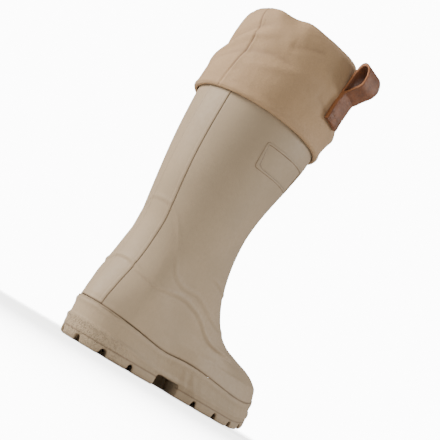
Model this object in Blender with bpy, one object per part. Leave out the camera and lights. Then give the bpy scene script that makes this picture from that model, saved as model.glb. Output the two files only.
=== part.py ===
"""Winter boot: moulded foam upper, lugged foam sole with two grip inserts, cloth cuff and pull loop.

Lengths are in metres. Y runs from the heel to the toe, X to the boot's inner side, Z up.
The pieces are modelled with Y = 0 at the back of the tread and hang under one empty, which
brings the centre of the heel's grip insert to the world's origin.
"""
import math

import bmesh
import bpy
import numpy as np

# Driving dimensions of the foot
LENGTH = 0.306            # tread, heel to toe tip
BALL_WIDTH = 0.119        # tread across the ball
INSTEP_HEIGHT = 0.126     # ground to the bend between vamp and leg
TOE_SPRING = 0.018        # rise of the tread at the toe tip
RAND_HEIGHT = 0.042       # top of the side wall at the heel
RAND_SETBACK = 0.003      # side wall behind the tread's back, and short of its tip
LEDGE = 0.0012            # step between the side wall and the upper
WALL = 0.004              # foam wall of the upper
SETTLE = 1.5              # how fast the upper's rows leave the side wall's curved top

# Driving dimensions of the leg and the cuff
LEG_TOP = 0.297           # ground to the hidden top of the foam leg
LEG_WIDTH = 0.132         # leg at its top, side to side
LEG_DEPTH = 0.151         # leg at its top, back to front
STRIP_WIDTH = 0.028       # raised strip up the back
STRIP_RISE = 0.0012
STRIP_EDGE = 0.0007       # width of the strip's sloping edge
CUFF_OVERLAP = 0.012      # cuff that reaches down over the leg
CUFF_HEIGHT = 0.101
CUFF_WALL = 0.0024

# Driving dimensions of the sole's inside and of its tread
LUG_DEPTH = 0.007
ARCH_RISE = 0.011         # arch above the ground at its edges
ARCH_VAULT = 0.002        # extra rise of the arch between its two creases
HEEL_STACK = 0.024        # ground to the foot bed at the heel
BALL_STACK = 0.017        # ground to the foot bed at the ball
INSOLE_THICKNESS = 0.005
INSOLE_EDGE = 0.001       # chamfer round the insole's top
TREAD_CHAMFER = 0.0015
HEEL_BEVEL = 0.0035       # slope behind the heel's lugs
BEVEL_BREAK = 0.6         # share of HEEL_BEVEL that is left at the top of the tread's chamfer
SIDE_BREAK = 0.0091       # height at which the tread's edge turns into the side wall
POCKET_DEPTH = 0.004      # grip insert sunk into the sole above the lugs' roots
DIMPLE_DEPTH = 0.0028
DIMPLE_RADIUS = 0.0062
DIMPLE_SPREAD = (1.10, 0.68)   # bowl's radius as far below the ground as it is deep, and at its root

# Driving dimensions of the pull loop
LOOP_WIDTH = 0.030
LOOP_LIFT = 0.0265        # free fold above the sewn tab
TAB_HEIGHT = 0.042        # sewn tab up the cuff
STRAP = 0.0026            # thickness of the leather

GAP = 0.0003              # clearance between pieces that meet
HEEL_CENTRE = 0.150       # centre of the heel insert, as a share of LENGTH

# Resolution of the faceted solids
DIMPLE_SIDES = 8
SIDE_STEPS = 40           # rungs from the back to the tip of the sole
RING_STEP = 0.5           # rings of the upper for each row of its tables
SIDE_COLUMNS = 20         # columns of the upper on each side, beside the strip's
CUFF_COLUMNS = 40

# Half-widths of the sole, as shares of BALL_WIDTH, at shares of its own length
OUTLINE_COLUMNS = ("along", "tread", "rand")
OUTLINE = (
    (0.03, 0.190, 0.192),
    (0.09, 0.308, 0.302),
    (0.175, 0.378, 0.358),
    (0.29, 0.382, 0.370),
    (0.36, 0.326, 0.348),
    (0.45, 0.342, 0.346),
    (0.52, 0.428, 0.380),
    (0.63, 0.490, 0.440),
    (0.70, 0.500, 0.458),
    (0.78, 0.470, 0.442),
    (0.86, 0.395, 0.382),
    (0.94, 0.262, 0.262),
)

# Sideways bend of the sole's middle, as a share of BALL_WIDTH, positive to the inner side
BEND = ((0.0, 0.0), (0.30, 0.0), (0.50, -0.004), (0.68, -0.010), (0.78, 0.012), (0.87, 0.028),
        (0.94, 0.020), (1.0, 0.0))

# Height of the side wall's top above the tread, as a share of RAND_HEIGHT
RAND = ((0.0, 1.0), (0.13, 0.905), (0.26, 0.822), (0.47, 0.880), (0.72, 0.762), (1.0, 0.715))

# The tread lies flat up to this share of LENGTH and then curves up to TOE_SPRING
SPRING_START = 0.72
SPRING_POWER = 1.9

# Height of the foot bed between its heel (1) and its ball (0)
BED = ((0.0, 1.0), (0.28, 0.96), (0.45, 0.70), (0.62, 0.12), (0.72, 0.0), (1.0, 0.0))

# Sections of the foot, each through a point of the back and a point of the front profile.
# Places are shares of LENGTH, heights of INSTEP_HEIGHT and half-widths of BALL_WIDTH,
# given at five shares of the way from the back to the front.
WIDTH_SHARES = (0.1, 0.3, 0.5, 0.7, 0.9)
FOOT_COLUMNS = ("back_y", "back_z", "front_y", "front_z", "w10", "w30", "w50", "w70", "w90", "lean")
FOOT_SECTIONS = (
    (-0.002, 0.360, 0.982, 0.425, 0.316, 0.354, 0.345, 0.380, 0.272, 0.000),
    (0.000, 0.395, 0.955, 0.478, 0.318, 0.354, 0.341, 0.342, 0.224, 0.000),
    (0.004, 0.435, 0.900, 0.520, 0.318, 0.355, 0.338, 0.318, 0.188, 0.000),
    (0.010, 0.488, 0.808, 0.556, 0.317, 0.356, 0.338, 0.322, 0.196, 0.002),
    (0.017, 0.560, 0.695, 0.612, 0.310, 0.358, 0.344, 0.322, 0.218, 0.005),
    (0.027, 0.655, 0.596, 0.720, 0.295, 0.359, 0.353, 0.328, 0.236, 0.010),
    (0.035, 0.765, 0.530, 0.857, 0.278, 0.360, 0.369, 0.340, 0.240, 0.015),
    (0.040, 0.882, 0.490, 1.000, 0.262, 0.360, 0.383, 0.350, 0.240, 0.020),
)

# Sections of the leg. Places and half-widths are shares of LEG_DEPTH and LEG_WIDTH,
# heights of the stretch from INSTEP_HEIGHT to LEG_TOP.
LEG_COLUMNS = ("back_y", "back_z", "front_y", "front_z", "half", "lean")
LEG_SECTIONS = (
    (0.084, 0.008, 0.932, 0.112, 0.360, 0.022),
    (0.079, 0.100, 0.890, 0.212, 0.366, 0.030),
    (0.053, 0.210, 0.868, 0.320, 0.377, 0.036),
    (0.020, 0.345, 0.880, 0.445, 0.393, 0.040),
    (-0.007, 0.500, 0.916, 0.580, 0.418, 0.042),
    (-0.018, 0.665, 0.955, 0.722, 0.453, 0.040),
    (-0.015, 0.832, 0.982, 0.856, 0.485, 0.034),
    (-0.008, 1.000, 0.992, 1.000, 0.500, 0.026),
)

# Cuff above the leg's top. Each row has a height as a share of CUFF_HEIGHT, then a half-width,
# a half-depth and the two places of its centre as shares of the leg's sizes.
CUFF_SECTIONS = (
    (0.28, 0.548, 0.524, 0.036, 0.496),
    (0.46, 0.538, 0.514, 0.050, 0.496),
    (0.74, 0.536, 0.502, 0.068, 0.494),
    (0.90, 0.508, 0.486, 0.068, 0.492),
    (1.00, 0.476, 0.468, 0.064, 0.490),
)

# Grooves between the lugs: each row has a width, a depth as a share of LUG_DEPTH, and a route.
# Widths and y are shares of LENGTH, x is a share of BALL_WIDTH.
GROOVE_MOUTH = 2.0        # spread of a groove a lug's depth below the ground
GROOVE_ROOT = 0.8         # spread of a groove at its root
HEEL_GROOVES = (
    (0.016, 1.0, ((-0.115, 0.058), (-0.165, -0.020))),
    (0.015, 1.0, ((0.010, 0.060), (0.115, -0.020))),
    (0.016, 1.0, ((-0.150, 0.104), (-0.400, 0.084))),
    (0.016, 0.9, ((-0.170, 0.104), (-0.232, 0.072))),
    (0.009, 0.8, ((-0.272, 0.105), (-0.285, 0.190))),
    (0.009, 0.8, ((-0.160, 0.118), (-0.178, 0.190))),
    (0.016, 1.0, ((-0.118, 0.216), (-0.440, 0.196))),
    (0.009, 0.8, ((-0.275, 0.220), (-0.275, 0.340))),
    (0.022, 1.0, ((0.110, 0.112), (0.385, 0.035))),
    (0.009, 0.8, ((0.182, 0.134), (0.222, 0.205))),
    (0.016, 1.0, ((0.100, 0.214), (0.255, 0.212), (0.430, 0.145))),
    (0.009, 0.8, ((0.235, 0.220), (0.235, 0.340))),
)
FOREFOOT_GROOVES = (
    (0.016, 1.0, ((-0.225, 0.611), (-0.350, 0.586), (-0.500, 0.545))),
    (0.016, 1.0, ((-0.265, 0.683), (-0.392, 0.678), (-0.560, 0.658))),
    (0.015, 1.0, ((-0.200, 0.760), (-0.540, 0.750))),
    (0.015, 1.0, ((-0.150, 0.832), (-0.500, 0.832))),
    (0.015, 1.0, ((-0.110, 0.868), (-0.330, 0.945))),
    (0.014, 1.0, ((-0.050, 0.892), (-0.180, 0.985))),
    (0.014, 1.0, ((0.030, 0.896), (0.045, 1.030))),
    (0.016, 1.0, ((0.180, 0.588), (0.320, 0.578), (0.500, 0.498))),
    (0.016, 1.0, ((0.245, 0.680), (0.368, 0.677), (0.560, 0.620))),
    (0.016, 1.0, ((0.205, 0.762), (0.352, 0.768), (0.560, 0.728))),
    (0.015, 1.0, ((0.200, 0.840), (0.340, 0.846), (0.520, 0.812))),
    (0.015, 1.0, ((0.150, 0.878), (0.400, 0.946))),
    (0.008, 0.8, ((-0.285, 0.510), (-0.350, 0.568))),
    (0.008, 0.8, ((-0.385, 0.600), (-0.425, 0.662))),
    (0.008, 0.8, ((-0.400, 0.690), (-0.405, 0.746))),
    (0.008, 0.8, ((-0.335, 0.764), (-0.325, 0.824))),
    (0.008, 0.8, ((0.232, 0.500), (0.290, 0.556))),
    (0.008, 0.8, ((0.320, 0.592), (0.352, 0.664))),
    (0.008, 0.8, ((0.352, 0.690), (0.352, 0.756))),
    (0.008, 0.8, ((0.345, 0.778), (0.335, 0.836))),
)

# Raised arch, row by row from the outer side to the inner side: place across, where it starts at
# the heel's lugs, where it ends at the forefoot, and its roof from its edges (0) to its vault (1)
ARCH = (
    (-0.600, 0.306, 0.478, 0.0),
    (-0.340, 0.306, 0.480, 0.1),
    (-0.280, 0.304, 0.500, 0.4),
    (-0.200, 0.290, 0.518, 1.0),
    (-0.105, 0.236, 0.529, 1.0),
    (-0.070, 0.236, 0.528, 1.0),
    (-0.020, 0.236, 0.484, 1.0),
    (0.020, 0.236, 0.484, 1.0),
    (0.055, 0.238, 0.522, 1.0),
    (0.095, 0.242, 0.515, 1.0),
    (0.155, 0.302, 0.496, 0.7),
    (0.260, 0.304, 0.474, 0.3),
    (0.600, 0.306, 0.430, 0.0),
)
ARCH_DRAFT = 0.010        # lean of the arch's two end walls, as a share of LENGTH

# Outlines of the two grip inserts, row by row from back to front: place along, left and right edge
HEEL_INSERT = (
    (0.090, -0.035, 0.020),
    (0.097, -0.088, 0.070),
    (0.112, -0.118, 0.105),
    (0.135, -0.136, 0.126),
    (0.160, -0.138, 0.114),
    (0.190, -0.122, 0.086),
    (0.209, -0.100, 0.066),
    (0.218, -0.070, 0.030),
)
FOREFOOT_INSERT = (
    (0.545, -0.012, 0.012),
    (0.570, -0.088, 0.085),
    (0.605, -0.165, 0.170),
    (0.640, -0.222, 0.207),
    (0.668, -0.253, 0.212),
    (0.700, -0.232, 0.188),
    (0.735, -0.200, 0.158),
    (0.770, -0.186, 0.168),
    (0.806, -0.172, 0.190),
    (0.835, -0.142, 0.160),
    (0.855, -0.090, 0.110),
    (0.868, -0.030, 0.030),
)

# Places of the dimples, across and along
HEEL_DIMPLES = ((-0.005, 0.116), (-0.062, 0.155), (0.054, 0.158), (-0.005, 0.192))
FOREFOOT_DIMPLES = ((0.018, 0.574), (-0.065, 0.615), (0.085, 0.620), (-0.130, 0.662), (0.115, 0.664),
                    (0.000, 0.690), (-0.085, 0.718), (0.080, 0.722), (-0.010, 0.752), (-0.105, 0.776),
                    (0.095, 0.780), (-0.005, 0.806), (-0.095, 0.824), (0.090, 0.832))

# Side view of the pull loop: out from the cuff in strap thicknesses, up in shares of LOOP_LIFT
LOOP_OUTER = ((0.10, -0.30), (0.28, -0.08), (1.05, 0.28), (2.70, 0.64), (4.80, 0.94), (7.20, 1.06),
              (9.00, 0.95), (9.20, 0.60), (7.75, 0.12), (4.90, -0.16), (2.30, -0.40))
LOOP_INNER = ((1.10, -0.30), (1.30, -0.12), (2.00, 0.20), (3.60, 0.54), (5.40, 0.80), (7.20, 0.90),
              (8.10, 0.82), (8.05, 0.52), (6.80, 0.20), (4.20, -0.06), (1.70, -0.28))
LOOP_PLACE = 0.582        # middle of the loop along the leg's depth
LOOP_DROP = 1.06          # fold line below the cuff's top, as a share of LOOP_LIFT
LOOP_STIFF = 0.4          # share of LOOP_LIFT over which the strap straightens above the tab


def smooth(table, at, column=1):
    """Read a smooth curve through the table's first column and another one."""
    xs = np.array([row[0] for row in table])
    ys = np.array([row[column] for row in table])
    return hermite(xs, ys, np.asarray(at, float))


def hermite(xs, ys, at):
    """Cubic curve through points, with each slope taken from the neighbours."""
    slopes = np.gradient(ys, xs, axis=0)
    at = np.clip(at, xs[0], xs[-1])
    index = np.clip(np.searchsorted(xs, at) - 1, 0, len(xs) - 2)
    step = xs[index + 1] - xs[index]
    t = (at - xs[index]) / step
    if ys.ndim > 1:
        t = t[..., None]
        step = step[..., None]
    low = (1 + 2 * t) * (1 - t) ** 2 * ys[index] + t * (1 - t) ** 2 * step * slopes[index]
    high = t * t * (3 - 2 * t) * ys[index + 1] + t * t * (t - 1) * step * slopes[index + 1]
    return low + high


def roundness(share):
    """Half-width of a round end: nought at both ends and one in the middle."""
    return 2 * np.sqrt(np.clip(share * (1 - share), 0, None))


def rounded_width(shares, widths, at):
    """Half-width from a back point to a front point, round at both ends."""
    shares = np.asarray(shares)
    fullness = np.asarray(widths) / roundness(shares)
    return hermite(shares, fullness, np.clip(at, shares[0], shares[-1])) * roundness(np.asarray(at))


def bend(y):
    return smooth(BEND, y / LENGTH) * BALL_WIDTH


def spring(y):
    past = np.clip((np.asarray(y, float) / LENGTH - SPRING_START) / (1 - SPRING_START), 0, None)
    return past ** SPRING_POWER * TOE_SPRING


def rand_height(y):
    return smooth(RAND, y / LENGTH) * RAND_HEIGHT + spring(y)


def bed_height(y):
    return BALL_STACK + (HEEL_STACK - BALL_STACK) * smooth(BED, y / LENGTH) + spring(y)


def outline(column, back, front, inset=0.0):
    """Left and right edge points of one level of the sole, rung by rung from back to tip."""
    blunt = math.pi / SIDE_STEPS / 2
    shares = (1 - np.cos(np.linspace(blunt, math.pi - blunt, SIDE_STEPS))) / 2
    at = [row[0] for row in OUTLINE]
    widths = [row[OUTLINE_COLUMNS.index(column)] * BALL_WIDTH for row in OUTLINE]
    half = rounded_width(at, widths, shares)
    y = back + inset + shares * (front - back - 2 * inset)
    half = half * (1 - 2 * inset / BALL_WIDTH) - inset * roundness(shares) / 2
    return y, bend(y) - half, bend(y) + half


def level(column, back, front, height, inset=0.0):
    """Closed ring of one level: up the left side and back down the right side."""
    y, left, right = outline(column, back, front, inset)
    z = height(y)
    ring = [(left[i], y[i], z[i]) for i in range(len(y))]
    return ring + [(right[i], y[i], z[i]) for i in reversed(range(len(y)))]


def ladder(first, count, flip):
    """Faces that fill a ring rung by rung, between its first half and its second."""
    faces = []
    for i in range(count // 2 - 1):
        face = (first + i, first + i + 1, first + count - i - 2, first + count - i - 1)
        faces.append(face[::-1] if flip else face)
    return faces


def band(lower, upper, count):
    """Faces between two rings of the same count."""
    return [(lower + i, lower + (i + 1) % count, upper + (i + 1) % count, upper + i) for i in range(count)]


def material(name, colour, roughness):
    mat = bpy.data.materials.new(name)
    mat.use_nodes = True
    shader = mat.node_tree.nodes["Principled BSDF"]
    shader.inputs["Base Color"].default_value = (*colour, 1.0)
    shader.inputs["Roughness"].default_value = roughness
    shader.inputs["Metallic"].default_value = 0.0
    mat.diffuse_color = (*colour, 1.0)
    return mat


def solid(name, points, faces, mat, parent):
    """One closed object from points and faces, with its faces turned outward."""
    mesh = bpy.data.meshes.new(name)
    mesh.from_pydata([tuple(p) for p in points], [], faces)
    work = bmesh.new()
    work.from_mesh(mesh)
    bmesh.ops.recalc_face_normals(work, faces=work.faces)
    work.to_mesh(mesh)
    work.free()
    obj = bpy.data.objects.new(name, mesh)
    bpy.context.collection.objects.link(obj)
    if mat:
        mesh.materials.append(mat)
        mesh.shade_smooth()
        mesh.set_sharp_from_angle(angle=math.radians(35))
    obj.parent = parent
    return obj


def cutter(name, bodies, parent):
    """Hidden object that holds several closed bodies for a Boolean."""
    points = []
    faces = []
    for body_points, body_faces in bodies:
        start = len(points)
        points += body_points
        faces += [[start + v for v in face] for face in body_faces]
    obj = solid(name, points, faces, None, parent)
    obj.hide_render = True
    obj.display_type = "WIRE"
    return obj


def subtract(target, tool, crossing=False):
    step = target.modifiers.new(tool.name, "BOOLEAN")
    step.operation = "DIFFERENCE"
    step.solver = "EXACT"
    step.use_self = crossing
    step.object = tool


def stack(rings):
    """Closed body through rings of one count, with both ends filled rung by rung."""
    count = len(rings[0])
    last = (len(rings) - 1) * count
    faces = ladder(0, count, False) + ladder(last, count, True)
    for i in range(len(rings) - 1):
        faces += band(i * count, (i + 1) * count, count)
    return [point for ring in rings for point in ring], faces


def groove(width, depth, route):
    """Tapered trench along a route, from below the tread up to the root between the lugs."""
    points = np.array(route) * (BALL_WIDTH, LENGTH)
    runs = np.diff(points, axis=0)
    runs /= np.linalg.norm(runs, axis=1)[:, None]
    ahead = np.concatenate((runs[:1], runs[:-1] + runs[1:], runs[-1:]))
    ahead /= np.linalg.norm(ahead, axis=1)[:, None]
    side = np.stack((-ahead[:, 1], ahead[:, 0]), axis=1) * width * LENGTH / 2
    rings = []
    for spread, root in ((GROOVE_MOUTH, -1.0), (GROOVE_ROOT, depth)):
        border = np.concatenate((points - side * spread, (points + side * spread)[::-1]))
        lift = spring(border[:, 1]) if root > 0 else 0.0
        z = root * LUG_DEPTH + lift * np.ones(len(border))
        rings.append([tuple(point) for point in np.column_stack((border, z))])
    return stack(rings)


def arch_cut():
    """Body that lifts the arch clear of the ground, with two long creases in its roof."""
    rings = []
    for draft, roofed in ((0.0, False), (ARCH_DRAFT, True)):
        heel_side = []
        toe_side = []
        for across, heel_edge, toe_edge, roof in ARCH:
            z = ARCH_RISE + roof * ARCH_VAULT if roofed else -LUG_DEPTH
            heel_side.append((across * BALL_WIDTH, (heel_edge + draft) * LENGTH, z))
            toe_side.append((across * BALL_WIDTH, (toe_edge - draft) * LENGTH, z))
        rings.append(heel_side + toe_side[::-1])
    return stack(rings)


def insert_ring(rows, growth, height):
    """Outline of a grip insert at one height, grown by an amount, rung by rung."""
    along = np.array([row[0] for row in rows]) * LENGTH
    y = np.linspace(along[0], along[-1], 2 * len(rows))
    left, right = (hermite(along, np.array([row[k] for row in rows]) * BALL_WIDTH, y) for k in (1, 2))
    y = y + growth * np.linspace(-1.0, 1.0, len(y))
    ring = [(left[i] - growth, y[i], height(y[i])) for i in range(len(y))]
    return ring + [(right[i] + growth, y[i], height(y[i])) for i in reversed(range(len(y)))]


def pocket(rows):
    """Body that cuts the seat of a grip insert out of the sole."""
    return stack([insert_ring(rows, GAP, lambda y: -LUG_DEPTH),
                  insert_ring(rows, GAP, lambda y: LUG_DEPTH + POCKET_DEPTH + float(spring(y)))])


def dimple(x, y):
    """Shallow faceted bowl in the ground face of an insert."""
    centre = (x * BALL_WIDTH, y * LENGTH)
    ground = float(spring(centre[1]))
    rings = []
    turn = [2 * math.pi * k / DIMPLE_SIDES for k in range(DIMPLE_SIDES)]
    for radius, z in zip(DIMPLE_SPREAD, (-DIMPLE_DEPTH, DIMPLE_DEPTH)):
        rings.append([(centre[0] + math.cos(a) * DIMPLE_RADIUS * radius,
                       centre[1] + math.sin(a) * DIMPLE_RADIUS * radius, ground + z) for a in turn])
    return stack(rings)


def make_outsole(mat, parent):
    back = -RAND_SETBACK
    front = LENGTH - RAND_SETBACK
    rim = LEDGE + WALL

    def tread(y):
        return spring(y)

    def shoulder(y):
        return spring(y) + TREAD_CHAMFER

    def side_break(y):
        return spring(y) + SIDE_BREAK

    levels = [
        level("tread", HEEL_BEVEL, LENGTH, tread, TREAD_CHAMFER),
        level("tread", HEEL_BEVEL * BEVEL_BREAK, LENGTH, shoulder),
        level("tread", 0.0, LENGTH, side_break),
        level("rand", back, front, lambda y: rand_height(y) - TREAD_CHAMFER),
        level("rand", back, front, rand_height, TREAD_CHAMFER / 2),
        level("rand", back, front, rand_height, rim + GAP),
        level("rand", back, front, bed_height, rim + GAP),
    ]
    sole = solid("outsole", *stack(levels), mat, parent)
    subtract(sole, cutter("cut_arch", [arch_cut()], parent))
    subtract(sole, cutter("cut_grooves", [groove(*row) for row in HEEL_GROOVES + FOREFOOT_GROOVES], parent), True)
    subtract(sole, cutter("cut_pockets", [pocket(HEEL_INSERT), pocket(FOREFOOT_INSERT)], parent))
    return sole


def make_insert(name, rows, dimples, mat, parent):
    """Grip insert that fills its pocket, down to the plane of the lugs."""
    roof = LUG_DEPTH + POCKET_DEPTH - GAP
    rings = [
        insert_ring(rows, -TREAD_CHAMFER / 2, lambda y: float(spring(y))),
        insert_ring(rows, 0.0, lambda y: float(spring(y)) + TREAD_CHAMFER / 2),
        insert_ring(rows, 0.0, lambda y: float(spring(y)) + roof),
    ]
    body = solid(name, *stack(rings), mat, parent)
    subtract(body, cutter("cut_" + name, [dimple(x, y) for x, y in dimples], parent), crossing=True)
    return body


def make_insole(mat, parent):
    back = -RAND_SETBACK
    front = LENGTH - RAND_SETBACK
    inset = LEDGE + WALL + 2 * GAP
    steps = ((0.0, 0.0), (INSOLE_THICKNESS - INSOLE_EDGE, 0.0), (INSOLE_THICKNESS, INSOLE_EDGE))
    levels = [level("rand", back, front, lambda y, rise=rise: bed_height(y) + GAP + rise, inset + edge)
              for rise, edge in steps]
    return solid("insole", *stack(levels), mat, parent)


def foot_row(row):
    values = dict(zip(FOOT_COLUMNS, row))
    half = [values[name] * BALL_WIDTH for name in FOOT_COLUMNS[4:9]]
    ends = (values["back_y"] * LENGTH, values["back_z"] * INSTEP_HEIGHT,
            values["front_y"] * LENGTH, values["front_z"] * INSTEP_HEIGHT)
    return ends, half, values["lean"] * BALL_WIDTH


def leg_row(row):
    values = dict(zip(LEG_COLUMNS, row))
    rise = LEG_TOP - INSTEP_HEIGHT
    half = [values["half"] * LEG_WIDTH * float(roundness(share)) for share in WIDTH_SHARES]
    ends = (values["back_y"] * LEG_DEPTH, INSTEP_HEIGHT + values["back_z"] * rise,
            values["front_y"] * LEG_DEPTH, INSTEP_HEIGHT + values["front_z"] * rise)
    return ends, half, values["lean"] * LEG_WIDTH


def upper_sections(shares):
    """Ends, half-widths and lean of every section, the first one on top of the side wall."""
    back = -RAND_SETBACK + LEDGE
    front = LENGTH - RAND_SETBACK - LEDGE
    ends = [(back, float(rand_height(0.0)), front, float(rand_height(LENGTH)))]
    at = [row[0] for row in OUTLINE]
    widths = [row[OUTLINE_COLUMNS.index("rand")] * BALL_WIDTH - LEDGE for row in OUTLINE]
    halves = [rounded_width(at, widths, shares)]
    leans = [0.0]
    for row in [foot_row(r) for r in FOOT_SECTIONS] + [leg_row(r) for r in LEG_SECTIONS]:
        ends.append(row[0])
        halves.append(rounded_width(WIDTH_SHARES, row[1], shares))
        leans.append(row[2])
    return np.array(ends), np.array(halves), np.array(leans)


def ring_columns(points):
    """Columns along one side of a ring: the strip's, then even steps to the front."""
    steps = np.linalg.norm(np.diff(points, axis=0), axis=1)
    run = np.concatenate(([0.0], np.cumsum(steps)))
    strip = STRIP_WIDTH / 2
    marks = [0.0, strip / 2, strip, strip + STRIP_EDGE]
    marks += list(np.linspace(strip + STRIP_EDGE, run[-1], SIDE_COLUMNS + 1)[1:])
    return np.stack([np.interp(marks, run, points[:, k]) for k in range(3)], axis=1)


def upper_rings(step):
    """Outer surface of the upper as a grid: rings from the side wall to the leg's top."""
    shares = (1 - np.cos(np.linspace(0, math.pi, 81))) / 2
    ends, halves, leans = upper_sections(shares)
    rows = np.arange(len(ends), dtype=float)
    rings = []
    for place in np.arange(0.0, rows[-1] + step / 2, step):
        end = hermite(rows, ends, np.array([place]))[0]
        half = hermite(rows, halves, np.array([place]))[0]
        lean = float(hermite(rows, leans, np.array([place]))[0])
        y = end[0] + shares * (end[2] - end[0])
        z = end[1] + shares * (end[3] - end[1])
        settle = max(0.0, 1.0 - place) ** SETTLE
        z = z + settle * (rand_height(np.clip(y, 0, LENGTH)) + GAP - z)
        middle = bend(np.clip(y, 0, LENGTH)) + lean
        sides = [np.stack((middle + sign * half, y, z), axis=1) for sign in (-1, 1)]
        left, right = (ring_columns(side) for side in sides)
        rings.append(np.concatenate((left, right[-2:0:-1])))
    return np.array(rings)


def outward(rings):
    """Unit normals of a grid of rings, pointing away from the boot's inside."""
    along = np.roll(rings, -1, axis=1) - np.roll(rings, 1, axis=1)
    up = np.gradient(rings, axis=0)
    normal = np.cross(up, along)
    return normal / np.linalg.norm(normal, axis=2)[:, :, None]


def make_upper(mat, parent):
    """Hollow upper: the outer grid with the back strip raised, and the same grid a wall inside."""
    rings = upper_rings(RING_STEP)
    normal = outward(rings)
    count = rings.shape[1]
    inner = (rings - normal * WALL)[::2]
    inner[0, :, 2] = rings[0, :, 2]
    inner[-1, :, 2] = rings[-1, :, 2]
    outer = rings.copy()
    raised = [0, 1, 2, count - 1, count - 2]
    outer[:, raised] += normal[:, raised] * STRIP_RISE
    outer[0, :, 2] = rings[0, :, 2]
    outer[-1, :, 2] = rings[-1, :, 2]
    points = [p for ring in outer for p in ring] + [p for ring in inner for p in ring]
    faces = []
    for i in range(len(outer) - 1):
        faces += band(i * count, (i + 1) * count, count)
    start = len(outer) * count
    for i in range(len(inner) - 1):
        faces += [f[::-1] for f in band(start + i * count, start + (i + 1) * count, count)]
    faces += [f[::-1] for f in band(0, start, count)]
    faces += band(start - count, start + (len(inner) - 1) * count, count)
    return solid("upper", points, faces, mat, parent)


def cuff_rows():
    """Height, half-width, half-depth and middle of the cuff's outer surface, from its hem up."""
    hem = LEG_TOP - CUFF_OVERLAP
    rise = LEG_TOP - INSTEP_HEIGHT
    spare = STRIP_RISE + GAP + CUFF_WALL
    heights = [INSTEP_HEIGHT + (row[1] + row[3]) / 2 * rise for row in LEG_SECTIONS]
    rows = []
    for z in (hem, LEG_TOP + GAP):
        half, back, front, lean = (hermite(np.array(heights), np.array([row[k] for row in LEG_SECTIONS]),
                                           np.array([z]))[0] for k in (4, 0, 2, 5))
        rows.append((z, half * LEG_WIDTH + spare, (front - back) / 2 * LEG_DEPTH + spare,
                     lean * LEG_WIDTH, (front + back) / 2 * LEG_DEPTH))
    for share, half_width, half_depth, x, y in CUFF_SECTIONS:
        rows.append((hem + share * CUFF_HEIGHT, half_width * LEG_WIDTH, half_depth * LEG_DEPTH,
                     x * LEG_WIDTH, y * LEG_DEPTH))
    return np.array(rows)


def cuff_at(z):
    rows = cuff_rows()
    return hermite(rows[:, 0], rows[:, 1:], np.array([z]))[0]


def make_cuff(mat, parent):
    """Cloth sleeve round the leg's top, open at both ends."""
    rows = cuff_rows()
    heights = [rows[0, 0]]
    for low, high in zip(rows[:-1, 0], rows[1:, 0]):
        heights += [(low + high) / 2, high]
    turn = np.linspace(0, 2 * math.pi, CUFF_COLUMNS, endpoint=False)
    points = []
    for wall, order in ((0.0, heights), (CUFF_WALL, heights[::-1])):
        for z in order:
            half_width, half_depth, x, y = cuff_at(z)
            points += [(x + (half_width - wall) * math.sin(a), y - (half_depth - wall) * math.cos(a), z)
                       for a in turn]
    count = CUFF_COLUMNS
    total = 2 * len(heights)
    faces = []
    for i in range(total):
        faces += band(i * count, (i + 1) % total * count, count)
    return solid("cuff", points, faces, mat, parent)


def make_pull_loop(mat, parent):
    """Folded leather strap on the cuff's inner side: a sewn tab below, a free loop above."""
    top = LEG_TOP - CUFF_OVERLAP + CUFF_HEIGHT
    fold = top - LOOP_LIFT * LOOP_DROP
    outer = [(out * STRAP, fold + up * LOOP_LIFT) for out, up in LOOP_OUTER]
    inner = [(out * STRAP, fold + up * LOOP_LIFT) for out, up in LOOP_INNER]
    tab = [(out * STRAP, fold - TAB_HEIGHT * down) for out, down in ((2, 0.5), (2, 1.0), (0, 1.0), (0, 0.5))]
    outer += tab
    crotch = np.linspace(inner[-1], inner[0], len(tab) + 2)[1:-1]
    inner += [tuple(point) for point in crotch]
    middle = LOOP_PLACE * LEG_DEPTH
    stations = np.linspace(middle - LOOP_WIDTH / 2, middle + LOOP_WIDTH / 2, 7)
    count = len(outer)
    points = []
    for y in stations:
        for out, z in outer + inner:
            half_width, half_depth, x, centre = cuff_at(z)
            follow = min(1.0, max(0.0, 1 - (z - fold) / (LOOP_STIFF * LOOP_LIFT)))
            beside = middle + (y - middle) * follow
            face = x + half_width * math.sqrt(1 - ((beside - centre) / half_depth) ** 2)
            points.append((face + GAP + out, y, z))
    faces = []
    for i in range(len(stations) - 1):
        low = i * 2 * count
        high = low + 2 * count
        faces += band(low, high, count)
        faces += [f[::-1] for f in band(low + count, high + count, count)]
    for low in (0, (len(stations) - 1) * 2 * count):
        faces += band(low, low + count, count)
    return solid("pull_loop", points, faces, mat, parent)


def main():
    for obj in list(bpy.data.objects):
        bpy.data.objects.remove(obj, do_unlink=True)
    boot = bpy.data.objects.new("boot", None)
    boot.location = (0.0, -HEEL_CENTRE * LENGTH, 0.0)
    bpy.context.collection.objects.link(boot)

    foam = (0.305, 0.238, 0.164)
    make_outsole(material("sole_foam", foam, 0.75), boot)
    make_insert("heel_insert", HEEL_INSERT, HEEL_DIMPLES, material("heel_insert_foam", foam, 0.7), boot)
    make_insert("forefoot_insert", FOREFOOT_INSERT, FOREFOOT_DIMPLES,
                material("forefoot_insert_foam", foam, 0.7), boot)
    make_insole(material("insole_felt", (0.34, 0.29, 0.23), 0.95), boot)
    make_upper(material("upper_foam", (0.320, 0.250, 0.172), 0.7), boot)
    make_cuff(material("cuff_cloth", (0.376, 0.266, 0.162), 0.9), boot)
    make_pull_loop(material("loop_leather", (0.205, 0.084, 0.042), 0.55), boot)


main()
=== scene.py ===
"""Looks of the winter boot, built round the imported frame.

Lengths are in metres. Shapes are modelled with Y = 0 at the back of the tread, as in the part's
source, and then moved by BOOT so that the heel insert's centre is the origin.
"""
import math

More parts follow.
